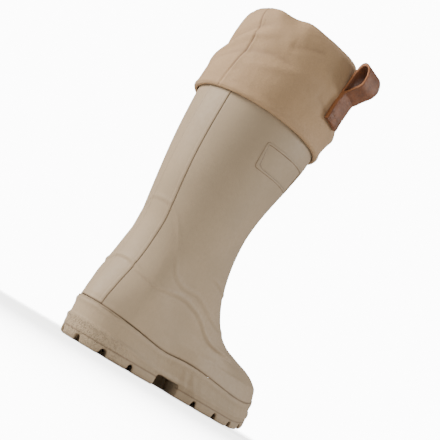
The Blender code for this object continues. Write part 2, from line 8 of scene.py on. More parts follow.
import bmesh
import bpy
import numpy as np
from mathutils import Matrix, Vector
from mathutils.bvhtree import BVHTree


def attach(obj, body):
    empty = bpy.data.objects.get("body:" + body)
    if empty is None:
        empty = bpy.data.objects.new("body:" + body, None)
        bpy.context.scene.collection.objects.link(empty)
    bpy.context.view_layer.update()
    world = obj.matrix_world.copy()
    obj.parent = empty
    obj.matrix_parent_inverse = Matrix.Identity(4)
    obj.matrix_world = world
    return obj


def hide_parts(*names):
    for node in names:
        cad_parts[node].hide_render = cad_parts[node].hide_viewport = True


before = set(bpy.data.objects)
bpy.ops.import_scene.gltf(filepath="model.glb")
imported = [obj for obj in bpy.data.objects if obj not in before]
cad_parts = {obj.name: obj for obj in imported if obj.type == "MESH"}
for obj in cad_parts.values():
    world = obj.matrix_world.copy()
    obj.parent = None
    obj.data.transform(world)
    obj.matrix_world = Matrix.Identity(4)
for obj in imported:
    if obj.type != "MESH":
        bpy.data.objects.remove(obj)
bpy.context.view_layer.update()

# Sizes and tables of the part's source
LENGTH = 0.306
BALL_WIDTH = 0.119
INSTEP_HEIGHT = 0.126
TOE_SPRING = 0.018
SPRING_START = 0.72
SPRING_POWER = 1.9
RAND_HEIGHT = 0.042
RAND_SETBACK = 0.003
LEDGE = 0.0012
WALL = 0.004
SETTLE = 1.5
LEG_TOP = 0.297
LEG_WIDTH = 0.132
LEG_DEPTH = 0.151
STRIP_RISE = 0.0012
CUFF_OVERLAP = 0.012
CUFF_HEIGHT = 0.101
CUFF_WALL = 0.0024
DIMPLE_DEPTH = 0.0030
DIMPLE_MOUTH = 0.0061
LOOP_WIDTH = 0.030
LOOP_LIFT = 0.0265
LOOP_DROP = 1.06
LOOP_STIFF = 0.4
LOOP_PLACE = 0.582
TAB_HEIGHT = 0.042
STRAP = 0.0026
GAP = 0.0003
SIDE_BREAK = 0.0091
HEEL_CENTRE = 0.150

RAND_OUTLINE = ((0.03, 0.192), (0.09, 0.302), (0.175, 0.358), (0.29, 0.370), (0.36, 0.348),
                (0.45, 0.346), (0.52, 0.380), (0.63, 0.440), (0.70, 0.458), (0.78, 0.442),
                (0.86, 0.382), (0.94, 0.262))
BEND = ((0.0, 0.0), (0.30, 0.0), (0.50, -0.004), (0.68, -0.010), (0.78, 0.012), (0.87, 0.028),
        (0.94, 0.020), (1.0, 0.0))
RAND = ((0.0, 1.0), (0.13, 0.905), (0.26, 0.822), (0.47, 0.880), (0.72, 0.762), (1.0, 0.715))
WIDTH_SHARES = (0.1, 0.3, 0.5, 0.7, 0.9)
FOOT_SECTIONS = (
    (-0.002, 0.360, 0.982, 0.425, 0.316, 0.354, 0.345, 0.380, 0.272, 0.000),
    (0.000, 0.395, 0.955, 0.478, 0.318, 0.354, 0.341, 0.342, 0.224, 0.000),
    (0.004, 0.435, 0.900, 0.520, 0.318, 0.355, 0.338, 0.318, 0.188, 0.000),
    (0.010, 0.488, 0.808, 0.556, 0.317, 0.356, 0.338, 0.322, 0.196, 0.002),
    (0.017, 0.560, 0.695, 0.612, 0.310, 0.358, 0.344, 0.322, 0.218, 0.005),
    (0.027, 0.655, 0.596, 0.720, 0.295, 0.359, 0.353, 0.328, 0.236, 0.010),
    (0.035, 0.765, 0.530, 0.857, 0.278, 0.360, 0.369, 0.340, 0.240, 0.015),
    (0.040, 0.882, 0.490, 1.000, 0.262, 0.360, 0.383, 0.350, 0.240, 0.020),
)
LEG_SECTIONS = (
    (0.084, 0.008, 0.932, 0.112, 0.360, 0.022),
    (0.079, 0.100, 0.890, 0.212, 0.366, 0.030),
    (0.053, 0.210, 0.868, 0.320, 0.377, 0.036),
    (0.020, 0.345, 0.880, 0.445, 0.393, 0.040),
    (-0.007, 0.500, 0.916, 0.580, 0.418, 0.042),
    (-0.018, 0.665, 0.955, 0.722, 0.453, 0.040),
    (-0.015, 0.832, 0.982, 0.856, 0.485, 0.034),
    (-0.008, 1.000, 0.992, 1.000, 0.500, 0.026),
)
CUFF_SECTIONS = (
    (0.28, 0.548, 0.524, 0.036, 0.496),
    (0.46, 0.538, 0.514, 0.050, 0.496),
    (0.74, 0.536, 0.502, 0.068, 0.494),
    (0.90, 0.508, 0.486, 0.068, 0.492),
    (1.00, 0.476, 0.468, 0.064, 0.490),
)
HEEL_DIMPLES = ((-0.005, 0.116), (-0.062, 0.155), (0.054, 0.158), (-0.005, 0.192))
FOREFOOT_DIMPLES = ((0.018, 0.574), (-0.065, 0.615), (0.085, 0.620), (-0.130, 0.662), (0.115, 0.664),
                    (0.000, 0.690), (-0.085, 0.718), (0.080, 0.722), (-0.010, 0.752), (-0.105, 0.776),
                    (0.095, 0.780), (-0.005, 0.806), (-0.095, 0.824), (0.090, 0.832))
LOOP_OUTER = ((0.10, -0.30), (0.28, -0.08), (1.05, 0.28), (2.70, 0.64), (4.80, 0.94), (7.20, 1.06),
              (9.00, 0.95), (9.20, 0.60), (7.75, 0.12), (4.90, -0.16), (2.30, -0.40))
LOOP_INNER = ((1.10, -0.30), (1.30, -0.12), (2.00, 0.20), (3.60, 0.54), (5.40, 0.80), (7.20, 0.90),
              (8.10, 0.82), (8.05, 0.52), (6.80, 0.20), (4.20, -0.06), (1.70, -0.28))

BOOT = np.array((0.0, -HEEL_CENTRE * LENGTH, 0.0))
MM = 0.001

# Height of the soft lip round the sole's side wall, at shares of LENGTH
SIDE_LIP = ((0.0, 0.0200), (0.12, 0.0185), (0.22, 0.0160), (0.5, 0.0150), (1.0, 0.0150))

# Relief of the upper, in millimetres. The strip's profile runs from the back's middle outward:
# way round, height.
STRIP_PROFILE = ((0.0, 0.85), (10.2, 0.85), (10.7, 0.78), (11.3, 1.08), (13.7, 1.02), (14.3, 0.78),
                 (14.65, 0.15), (14.9, -0.10), (15.2, 0.22), (16.4, 0.24), (19.5, 0.10), (24.0, 0.0))
STRIP_GROOVE = 14.9
STRIP_BORDER = 10.8

# Ways round of the upper's first columns, close together where the strip ends
STRIP_WAYS = (0, 2, 4, 6, 8, 9.4, 10.2, 10.7, 11.0, 11.3, 12.0, 12.9, 13.7, 14.0, 14.3, 14.5, 14.65, 14.78,
              14.9, 15.02, 15.2, 15.6, 16.4, 17.6)
SIDE_COLUMNS = 118
OUTLINE_STEPS = 160
INNER_STEP = 6

# Ridges round the ankle, each with a height, a width and a route of (way round, height up). Each
# has a soft shadow line a little below it: a shallow dip in the relief, also darkened with painted shade.
RIDGE_SHADOW = 2.6
RIDGES = (
    (0.65, 2.4, ((0, 161.5), (8, 161), (14, 159.5), (17, 156.4), (23.5, 151.2), (29, 143), (36.6, 131.2),
                 (46.2, 113.6), (56.9, 102), (72.4, 97.4), (84.5, 97.7), (97.6, 98.7), (112, 96.6),
                 (128, 93), (146, 88.5), (166, 85), (190, 84), (230, 84))),
    (1.15, 2.4, ((0, 94.3), (8, 93.6), (15.6, 90.9), (21.5, 88.2), (33.6, 85.8), (46.2, 84), (59.9, 85.6),
                 (76.3, 87.9), (91.2, 88.4), (106.3, 86.4), (119.9, 84), (136.6, 79), (149.2, 73.4),
                 (164, 68.5), (182, 66), (230, 65))),
    (0.8, 1.9, ((96, 121), (110, 121.5), (126, 120), (144, 117.5), (162, 116), (182, 115.5), (230, 115.5))),
)


def smooth(table, at):
    """Read a smooth curve through a table of two columns."""
    xs, ys = np.array(table).T
    return hermite(xs, ys, np.asarray(at, float))


def hermite(xs, ys, at):
    """Cubic curve through points, with each slope taken from the neighbours."""
    slopes = np.gradient(ys, xs, axis=0)
    at = np.clip(at, xs[0], xs[-1])
    index = np.clip(np.searchsorted(xs, at) - 1, 0, len(xs) - 2)
    step = xs[index + 1] - xs[index]
    t = (at - xs[index]) / step
    if ys.ndim > 1:
        t = t[..., None]
        step = step[..., None]
    low = (1 + 2 * t) * (1 - t) ** 2 * ys[index] + t * (1 - t) ** 2 * step * slopes[index]
    high = t * t * (3 - 2 * t) * ys[index + 1] + t * t * (t - 1) * step * slopes[index + 1]
    return low + high


def roundness(share):
    """Half-width of a round end: nought at both ends and one in the middle."""
    return 2 * np.sqrt(np.clip(share * (1 - share), 0, None))


def rounded_width(shares, widths, at):
    """Half-width from a back point to a front point, round at both ends."""
    shares = np.asarray(shares)
    fullness = np.asarray(widths) / roundness(shares)
    return hermite(shares, fullness, np.clip(at, shares[0], shares[-1])) * roundness(np.asarray(at))


def bend(y):
    return smooth(BEND, y / LENGTH) * BALL_WIDTH


def spring(y):
    past = np.clip((np.asarray(y, float) / LENGTH - SPRING_START) / (1 - SPRING_START), 0, None)
    return past ** SPRING_POWER * TOE_SPRING


def rand_height(y):
    return smooth(RAND, y / LENGTH) * RAND_HEIGHT + spring(y)


def rand_half(shares, inset=0.0):
    """Half-width of the sole's outline at shares of its length."""
    places, widths = np.array(RAND_OUTLINE).T
    return rounded_width(places, widths * BALL_WIDTH - inset, shares)


def step_between(value, low, high):
    """Smooth step from nought at low to one at high."""
    t = np.clip((value - low) / (high - low), 0, 1)
    return t * t * (3 - 2 * t)


def hill(value, width):
    return np.exp(-(value / width) ** 2)


def along_route(points, route):
    """Distance of flat points to a route, and how far along the route (0 to 1) each lies."""
    route = np.asarray(route, float)
    runs = np.diff(route, axis=0)
    lengths = np.linalg.norm(runs, axis=1)
    starts = np.concatenate(([0.0], np.cumsum(lengths)))
    best = np.full(len(points), np.inf)
    where = np.zeros(len(points))
    for start, run, length, before in zip(route, runs, lengths, starts):
        share = np.clip((points - start) @ run / length ** 2, 0, 1)
        distance = np.linalg.norm(points - start - share[:, None] * run, axis=1)
        nearer = distance < best
        best[nearer] = distance[nearer]
        where[nearer] = (before + share * length)[nearer] / starts[-1]
    return best, where


def waves(points, length, seed, count=7):
    """Gentle unevenness between -1 and 1: a sum of seeded sine waves of about one length."""
    rng = np.random.default_rng(seed)
    total = np.zeros(len(points))
    for _ in range(count):
        way = rng.normal(size=points.shape[1])
        way *= 2 * math.pi / (length * rng.uniform(0.7, 1.5)) / np.linalg.norm(way)
        total += np.sin(points @ way + rng.uniform(0, 2 * math.pi))
    return total / math.sqrt(count) / 1.4


def new_object(name, data):
    """A new object, placed in the scene."""
    obj = bpy.data.objects.new(name, data)
    bpy.context.scene.collection.objects.link(obj)
    return obj


def mark(obj, name, values):
    """Give the mesh one number for each point, which its material reads."""
    layer = obj.data.attributes.new(name, "FLOAT", "POINT")
    layer.data.foreach_set("value", np.asarray(values, np.float32))


def mesh_piece(name, points, faces, marks=None, uv=None):
    """A smooth-shaded mesh object from points in the boot's own frame, moved to the row frame."""
    mesh = bpy.data.meshes.new(name)
    mesh.from_pydata((np.asarray(points) + BOOT).tolist(), [], faces)
    obj = new_object(name, mesh)
    for key, values in (marks or {}).items():
        mark(obj, key, values)
    if uv is not None:
        layer = mesh.uv_layers.new(name="UVMap")
        corners = np.zeros(len(mesh.loops), np.int32)
        mesh.loops.foreach_get("vertex_index", corners)
        layer.data.foreach_set("uv", np.asarray(uv, np.float32)[corners].ravel())
    mesh.shade_smooth()
    return obj


def tube_faces(rows, columns, first=0, flip=False, wrap=False):
    """Quads between closed rows of points; with wrap the last row joins the first."""
    i, j = np.meshgrid(np.arange(rows if wrap else rows - 1), np.arange(columns), indexing="ij")
    right = (j + 1) % columns
    above = (i + 1) % rows
    quads = np.stack((i * columns + j, i * columns + right, above * columns + right, above * columns + j), -1)
    quads = quads.reshape(-1, 4) + first
    return (quads[:, ::-1] if flip else quads).tolist()


def points_of(obj):
    co = np.zeros(len(obj.data.vertices) * 3)
    obj.data.vertices.foreach_get("co", co)
    return co.reshape(-1, 3)


def normals_of(obj):
    no = np.zeros(len(obj.data.vertices) * 3, np.float32)
    obj.data.vertex_normals.foreach_get("vector", no)
    return no.reshape(-1, 3).astype(float)


def set_points(obj, co):
    obj.data.vertices.foreach_set("co", np.asarray(co, np.float32).ravel())
    obj.data.update()


# Upper

def upper_sections(shares):
    ends = [(LEDGE - RAND_SETBACK, float(rand_height(0.0)),
             LENGTH - RAND_SETBACK - LEDGE, float(rand_height(LENGTH)))]
    halves = [rand_half(shares, LEDGE)]
    leans = [0.0]
    for row in FOOT_SECTIONS:
        ends.append((row[0] * LENGTH, row[1] * INSTEP_HEIGHT, row[2] * LENGTH, row[3] * INSTEP_HEIGHT))
        halves.append(rounded_width(WIDTH_SHARES, np.array(row[4:9]) * BALL_WIDTH, shares))
        leans.append(row[9] * BALL_WIDTH)
    rise = LEG_TOP - INSTEP_HEIGHT
    for row in LEG_SECTIONS:
        ends.append((row[0] * LEG_DEPTH, INSTEP_HEIGHT + row[1] * rise,
                     row[2] * LEG_DEPTH, INSTEP_HEIGHT + row[3] * rise))
        half = row[4] * LEG_WIDTH * roundness(np.array(WIDTH_SHARES))
        halves.append(rounded_width(WIDTH_SHARES, half, shares))
        leans.append(row[5] * LEG_WIDTH)
    return np.array(ends), np.array(halves), np.array(leans)


def upper_grid(places):
    """Rings of the upper's outer surface, and each point's way round from the back's middle."""
    shares = (1 - np.cos(np.linspace(0, math.pi, OUTLINE_STEPS + 1))) / 2
    ends, halves, leans = upper_sections(shares)
    rows = np.arange(len(ends), dtype=float)
    near = np.array(STRIP_WAYS) * MM
    rings = []
    ways = []
    for place in places:
        end = hermite(rows, ends, np.array([place]))[0]
        half = hermite(rows, halves, np.array([place]))[0]
        lean = float(hermite(rows, leans, np.array([place]))[0])
        y = end[0] + shares * (end[2] - end[0])
        z = end[1] + shares * (end[3] - end[1])
        settle = max(0.0, 1.0 - place) ** SETTLE
        z = z + settle * (rand_height(np.clip(y, 0, LENGTH)) + GAP - z)
        middle = bend(np.clip(y, 0, LENGTH)) + lean
        sides = []
        for sign in (-1, 1):
            line = np.stack((middle + sign * half, y, z), axis=1)
            run = np.concatenate(([0.0], np.cumsum(np.linalg.norm(np.diff(line, axis=0), axis=1))))
            marks = np.concatenate((near, np.linspace(near[-1], run[-1], SIDE_COLUMNS + 1)[1:]))
            side = np.stack([np.interp(marks, run, line[:, k]) for k in range(3)], axis=1)
            sides.append((side, sign * marks))
        rings.append(np.concatenate((sides[0][0], sides[1][0][-2:0:-1])))
        ways.append(np.concatenate((sides[0][1], sides[1][1][-2:0:-1])))
    return np.array(rings), np.array(ways)


def outward(rings):
    """Unit normals of a grid of rings, pointing away from the boot's inside."""
    along = np.roll(rings, -1, axis=1) - np.roll(rings, 1, axis=1)
    up = np.gradient(rings, axis=0)
    normal = np.cross(up, along)
    return normal / np.linalg.norm(normal, axis=2)[:, :, None]


def upper_relief(flat, way, foot):
    """Relief of the upper in millimetres, and how much painted shade each point takes in the creases and
    grooves.
    """
    high = flat[:, 2] / MM
    relief = np.interp(way, *np.array(STRIP_PROFILE).T)
    # Painted shade, darkest in the groove at the strip's edge and faint along its border
    crease_shade = 0.95 * hill(way - STRIP_GROOVE, 0.26) + 0.12 * hill(way - STRIP_BORDER, 0.5)
    for height, width, route in RIDGES:
        route = np.array(route, float)
        steps = np.arange(len(route), dtype=float)
        route = hermite(steps, route, np.linspace(0, steps[-1], 6 * len(route)))
        distance, along = along_route(np.column_stack((way, high)), route)
        below, _ = along_route(np.column_stack((way, high + RIDGE_SHADOW)), route)
        fade = 1.0 if route[0, 0] == 0 else step_between(along, 0.0, 0.18)
        relief += height * (hill(distance, width) - 0.45 * hill(below, width)) * fade
        # Faint painted shadow along the dip under each ridge
        crease_shade += 0.08 * hill(below, 1.3) * fade
    relief += 0.18 * waves(flat, 0.055, 3)
    relief -= 0.8 * hill(foot, 0.9)
    # Painted shade in the groove where the upper meets the sole
    crease_shade += hill(foot, 0.8)
    return relief, np.clip(crease_shade, 0, 1)


def make_upper():
    places = np.concatenate((np.linspace(0, 1, 14), np.linspace(1, 8, 92)[1:], np.linspace(8, 16, 128)[1:]))
    rings, ways = upper_grid(places)
    normal = outward(rings)
    rows, count = rings.shape[:2]
    flat = rings.reshape(-1, 3)
    foot = (flat[:, 2] - np.tile(rings[0, :, 2], rows)) / MM
    relief, crease_shade = upper_relief(flat, np.abs(ways.ravel()) / MM, foot)
    outer = flat + normal.reshape(-1, 3) * relief[:, None] * MM
    inner = (rings - normal * WALL)[::-INNER_STEP][::-1]
    points = np.concatenate((outer, inner.reshape(-1, 3)))
    faces = tube_faces(rows, count)
    faces += tube_faces(len(inner), count, rows * count, flip=True)
    top = [(rows - 1) * count, (rows + len(inner) - 1) * count]
    faces += [(top[0] + j, top[0] + (j + 1) % count, top[1] + (j + 1) % count, top[1] + j)
              for j in range(count)]
    # The outer face carries the painted shade of its creases; the inner face has none
    upper = mesh_piece("foam_upper", points, faces,
                       {"crease_shade": np.concatenate((crease_shade, np.zeros(inner.size // 3)))})
    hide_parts("upper")
    return upper, rings, ways


def on_wall(rings, ways, way, high):
    """Point of the upper's surface at a way round (signed) and a height, both in metres."""
    side = [j for j in range(rings.shape[1]) if ways[-1, j] * math.copysign(1, way) >= 0]
    side.sort(key=lambda j: abs(ways[-1, j]))
    line = np.array([[np.interp(abs(way), np.abs(ways[i, side]), rings[i, side, k]) for k in range(3)]
                     for i in range(len(rings) * 3 // 5, len(rings))])
    return np.array([np.interp(high, line[:, 2], line[:, k]) for k in range(3)])


# Badge frame: ways round and heights of its sides, and the profile of its band (inset and height in
# millimetres, and how much painted shade darkens it). The band is wider at its lower left end.
BADGE_LEFT = 0.073
BADGE_RIGHT = 0.150
BADGE_LOW = 0.2325
BADGE_TOP = 0.2615
BADGE_CORNER = 0.0035
BADGE_STEP = 0.0015
BADGE_SLANT = 0.06
BADGE_PROFILE = ((0.0, -0.5, 1.0), (0.0, -0.12, 1.0), (0.25, 0.42, 0.5), (0.7, 0.62, 0.0), (1.6, 0.66, 0.0),
                 (2.3, 0.5, 0.5), (2.8, 0.1, 1.0), (2.8, -0.5, 1.0))
LEG_LEAN = 0.035


def badge_path():
    """Closed flat line of the badge frame, with round corners and even steps."""
    right, left = BADGE_RIGHT - BADGE_CORNER, BADGE_LEFT + BADGE_CORNER
    top, low = BADGE_TOP - BADGE_CORNER, BADGE_LOW + BADGE_CORNER
    loop = []
    for x, z, start in ((right, top, 0), (left, top, 90), (left, low, 180), (right, low, 270)):
        for turn in np.radians(np.linspace(start, start + 90, 7)):
            loop.append((x + BADGE_CORNER * math.cos(turn), z + BADGE_CORNER * math.sin(turn)))
    path = []
    for a, b in zip(loop, loop[1:] + loop[:1]):
        steps = max(1, int(math.dist(a, b) / BADGE_STEP))
        path += [tuple(np.array(a) + (np.array(b) - a) * k / steps) for k in range(steps)]
    return np.array(path)


def away_from_middle(line):
    """Unit normals of a closed flat line, pointing away from its middle."""
    ahead = np.roll(line, -1, axis=0) - np.roll(line, 1, axis=0)
    ahead /= np.linalg.norm(ahead, axis=1)[:, None] + 1e-12
    normal = np.stack((ahead[:, 1], -ahead[:, 0]), axis=1)
    if np.mean(np.sum((line - line.mean(0)) * normal, axis=1)) < 0:
        normal = -normal
    return normal


def make_badge_frame(rings, ways):
    """Bare raised frame on the leg's inner side, where the photograph has lettering."""
    path = badge_path()
    centre = np.array((LEG_LEAN * LEG_WIDTH, LEG_DEPTH / 2, 0))
    points = []
    for (way, high), side in zip(path, away_from_middle(path)):
        end = 1 - step_between(way, BADGE_LEFT + 0.003, BADGE_LEFT + 0.012)
        wide = 1 + 1.2 * end * (BADGE_TOP - high) / (BADGE_TOP - BADGE_LOW)
        for inset, rise, _ in BADGE_PROFILE:
            at = np.array((way, high)) - side * inset * wide * MM
            base = on_wall(rings, ways, at[0], at[1] + BADGE_SLANT * (at[0] - BADGE_LEFT))
            out = base - centre
            out[2] = 0
            points.append(base + out / np.linalg.norm(out) * rise * MM)
    # Painted shade along both edges of the band, half as much on its slopes
    edge_shade = [row[2] for row in BADGE_PROFILE] * len(path)
    return mesh_piece("badge_frame", points, tube_faces(len(path), len(BADGE_PROFILE), wrap=True),
                      {"crease_shade": edge_shade})


# Sole

def evaluated_mesh(obj):
    """A new mesh of the object as its modifiers leave it."""
    return bpy.data.meshes.new_from_object(obj.evaluated_get(bpy.context.evaluated_depsgraph_get()))


def moulded_copy(node, name, voxel, softening, most):
    """A remeshed copy of a CAD node, with its edges softened as a mould leaves them."""
    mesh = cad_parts[node].data.copy()
    work = bmesh.new()
    work.from_mesh(mesh)
    bmesh.ops.remove_doubles(work, verts=work.verts, dist=1e-6)
    work.to_mesh(mesh)
    work.free()
    source = new_object(name + "_source", mesh)
    remesh = source.modifiers.new("remesh", "REMESH")
    remesh.mode = "VOXEL"
    remesh.voxel_size = voxel
    soften = source.modifiers.new("soften", "SMOOTH")
    soften.factor = 0.5
    soften.iterations = softening
    made = evaluated_mesh(source)
    triangles = sum(len(face.vertices) - 2 for face in made.polygons)
    if triangles > most:
        thin = source.modifiers.new("thin", "DECIMATE")
        thin.ratio = most / triangles
        made = evaluated_mesh(source)
    bpy.data.objects.remove(source)
    made.materials.clear()
    obj = new_object(name, made)
    made.shade_smooth()
    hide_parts(node)
    return obj


GATE_PLACE = (0.0104, 0.0250)    # mark of the mould's gate, behind the heel insert

# The arch's roof is flat between two long creases, and slopes up in a panel on either side of it
ARCH_LEFT = -0.021
ARCH_RIGHT = 0.009
ARCH_TAPER = -0.093
ARCH_MIDDLE = 0.1255
ARCH_SLOPE = 0.22
ARCH_PANEL = 0.011
ARCH_MARK = (-0.0046, 0.1352, 0.0072)    # middle and radius of the moulded ring


def near_outline(co):
    """One at the sole's outline, and nought a few millimetres further in."""
    half = rand_half(np.clip((co[:, 1] + RAND_SETBACK) / LENGTH, 0, 1))
    inside = half - np.abs(co[:, 0] - bend(np.clip(co[:, 1], 0, LENGTH)))
    inside = np.minimum(inside, np.minimum(co[:, 1] + RAND_SETBACK, LENGTH - RAND_SETBACK - co[:, 1]))
    return 1 - step_between(inside, 0.0055, 0.0085)


def side_relief(ground, lip, drop, behind):
    """Relief of the side wall in millimetres: its lip, its break line and the rolled top edge."""
    relief = 0.9 * hill(ground - lip, 0.0022) - 1.05 * step_between(ground, lip, lip + 0.004)
    relief += (0.7 + 0.6 * behind) * hill(drop - 0.0035, 0.003) - 0.5 * hill(ground - SIDE_BREAK, 0.001)
    return relief - 1.1 * hill(drop - 0.0012, 0.0022) * behind


def arch_rise(co, facing_down, ground):
    """How far the panels beside the arch's roof slope up."""
    past_left = ARCH_LEFT - co[:, 0]
    past_right = co[:, 0] - ARCH_RIGHT - ARCH_TAPER * (co[:, 1] - ARCH_MIDDLE)
    panels = step_between(co[:, 1], 0.094, 0.106) * (1 - step_between(co[:, 1], 0.140, 0.154))
    panels *= step_between(facing_down, 0.5, 0.8) * step_between(ground, 0.0090, 0.0100)
    return ARCH_SLOPE * np.clip(np.maximum(past_left, past_right), 0, ARCH_PANEL) * panels


def make_sole():
    sole = moulded_copy("outsole", "foam_sole", voxel=0.0011, softening=5, most=190000)
    co = points_of(sole) - BOOT
    normal = normals_of(sole)
    ground = co[:, 2] - spring(co[:, 1])
    outside = near_outline(co)
    wall = (1 - step_between(np.abs(normal[:, 2]), 0.35, 0.75)) * outside
    lip = smooth(SIDE_LIP, co[:, 1] / LENGTH)
    drop = rand_height(np.clip(co[:, 1], 0, LENGTH)) - co[:, 2]
    behind = 1 - step_between(co[:, 1], 0.010, 0.022)
    level_out = normal * (1, 1, 0) / (np.linalg.norm(normal[:, :2], axis=1)[:, None] + 1e-9)
    relief = side_relief(ground, lip, drop, behind) * wall * step_between(ground, 0.006, 0.009)
    co += level_out * relief[:, None] * MM
    co[:, 2] += arch_rise(co, -normal[:, 2], ground)
    gate = hill(co[:, 0] - GATE_PLACE[0], 0.0026) * hill(co[:, 1] - GATE_PLACE[1], 0.0030)
    co[:, 2] += 0.9 * MM * gate * (ground < 0.001)
    set_points(sole, co + BOOT)
    # The skin is pitted low on the heel's wall and in a patch of the heel's tread
    below_lip = 1 - step_between(ground, lip, lip + 0.003)
    heel = 1 - step_between(co[:, 1], 0.02, 0.055)
    patch = 0.7 * heel * hill(co[:, 0] - 0.016, 0.020) * hill(co[:, 1] - 0.012, 0.014) * (ground < 0.002)
    mark(sole, "pitted", np.maximum(wall * (0.08 + 0.8 * below_lip * heel), patch))
    # Painted shade along the side wall's break line, and in the groove under the rolled top edge behind the
    # heel
    mark(sole, "crease_shade", np.clip(0.8 * wall * hill(ground - SIDE_BREAK, 0.0007)
                                 + 0.34 * wall * behind * hill(drop - 0.0012, 0.0016), 0, 1))
    # Painted shade darkens the grooves between the lugs, and not the arch
    lugs = 1 - step_between(ground, 0.0082, 0.0096)
    lugs *= 1 - hill(co[:, 1] / LENGTH - 0.42, 0.14)
    mark(sole, "recess_shade", 0.45 * step_between(ground, 0.002, 0.006) * lugs * (1 - outside) * (1 - wall))
    return sole


def make_arch_mark(sole):
    """Bare moulded ring on the arch's roof, set on the sole's own surface."""
    tree = BVHTree.FromPolygons([v.co for v in sole.data.vertices],
                                [tuple(face.vertices) for face in sole.data.polygons])
    profile = ((-0.75, -0.3), (-0.6, 0.12), (-0.3, 0.38), (0.3, 0.38), (0.6, 0.12), (0.75, -0.3))
    steps = 64
    x, y, radius = ARCH_MARK
    points = []
    for turn in np.linspace(0, 2 * math.pi, steps, endpoint=False):
        for across, proud in profile:
            reach = radius + across * MM
            at = np.array((x + reach * math.cos(turn), y + reach * math.sin(turn), 0.0))
            hit = tree.ray_cast(Vector(at + BOOT), Vector((0, 0, 1)))[0]
            at[2] = hit.z - proud * MM
            points.append(at)
    # Painted shade at both edges of the ring, less on its slopes
    edge_shade = np.tile((0.5, 0.25, 0.0, 0.0, 0.25, 0.5), steps)
    faces = tube_faces(steps, len(profile), flip=True, wrap=True)
    return mesh_piece("arch_ring", points, faces, {"crease_shade": edge_shade})


def make_insert(node, name, dimples):
    """Grip insert with round dimples pressed into its ground face."""
    insert = moulded_copy(node, name, voxel=0.00065, softening=3, most=120000)
    co = points_of(insert)
    y = co[:, 1] - BOOT[1]
    ground = co[:, 2] - spring(y)
    facing = normals_of(insert)[:, 2] < -0.45
    bowl = np.zeros(len(co))
    near = np.zeros(len(co), bool)
    for across, along in dimples:
        away = np.hypot(co[:, 0] - across * BALL_WIDTH, y - along * LENGTH) / DIMPLE_MOUTH
        bowl = np.maximum(bowl, np.clip(1 - away ** 2, 0, 1) ** 0.75)
        near |= away < 1.15
    pressed = near & facing & (ground < DIMPLE_DEPTH + 0.0006)
    co[pressed, 2] = spring(y[pressed]) + bowl[pressed] * DIMPLE_DEPTH
    set_points(insert, co)
    # Painted shade in the dimples' bowls
    mark(insert, "recess_shade", 0.25 * bowl * facing)
    mark(insert, "crease_shade", np.zeros(len(co)))
    return insert


def make_insole():
    """Felt footbed, pressed in where the heel and the ball of the foot stand."""
    insole = moulded_copy("insole", "felt_insole", voxel=0.0012, softening=4, most=90000)
    co = points_of(insole)
    y = co[:, 1] - BOOT[1]
    top = step_between(normals_of(insole)[:, 2], 0.2, 0.8)
    heel = hill(co[:, 0], 0.026) * hill(y - 0.052, 0.036)
    ball = hill(co[:, 0] + 0.003, 0.034) * hill(y - 0.212, 0.034)
    co[:, 2] -= top * (1.1 * heel + 0.8 * ball - 0.25 * waves(co, 0.016, 5)) * MM
    set_points(insole, co)
    mark(insole, "worn", np.clip(heel + ball, 0, 1) * top)
    return insole


# Cuff. Lengths are in millimetres, and turns in degrees from the back towards the inner side.

CUFF_HEM = (LEG_TOP - CUFF_OVERLAP) / MM
CUFF_RIM = CUFF_HEM + CUFF_HEIGHT / MM
CUFF_RADIUS = 0.070
DEGREE = 1.25    # way round the cuff in one degree

# Folds, each with a height, a width and a route of (turn, height up)
CUFF_FOLDS = (
    (2.0, 5.6, ((-92, 309), (-58, 315), (-30, 327), (-11, 342), (0, 350), (12, 355), (24, 358))),
    (-2.0, 6.4, ((-86, 322), (-52, 330), (-24, 344), (-6, 358), (6, 366), (16, 372))),
    (-1.2, 6.5, ((-30, 316), (-8, 326), (10, 334), (28, 338), (48, 336))),
    (0.9, 5.0, ((8, 318), (26, 322), (46, 330), (66, 342))),
    (-0.9, 6.0, ((30, 352), (46, 360), (62, 370))),
    (1.1, 5.0, ((58, 356), (80, 344), (104, 338), (126, 344))),
    (-1.0, 5.0, ((66, 330), (92, 320), (122, 323), (148, 334))),
    (1.4, 5.5, ((118, 312), (146, 317), (176, 329), (206, 347))),
    (-1.3, 5.0, ((140, 352), (168, 344), (200, 336), (232, 338))),
    (1.3, 5.5, ((186, 316), (214, 313), (244, 321), (268, 338))),
    (-1.1, 4.5, ((218, 358), (240, 348), (262, 350), (286, 342))),
)

# Places where the cloth is drawn in or stands out: way out, turn and its spread, height up and its
# spread
CUFF_DENTS = (
    (-4.4, -64, 26, 348, 20),
    (-3.6, 27, 9, 387, 13),
    (1.8, 9, 11, 387, 10),
    (-1.8, 104, 13, 388, 14),
    (-2.2, 168, 16, 388, 13),
    (-1.6, 236, 15, 388, 14),
)

# The seam's height up and turn
CUFF_SEAM = ((283, 1.0), (300, 1.5), (330, 2.0), (348, 1.5), (362, -3.0), (376, -6.5), (390, -7.0))


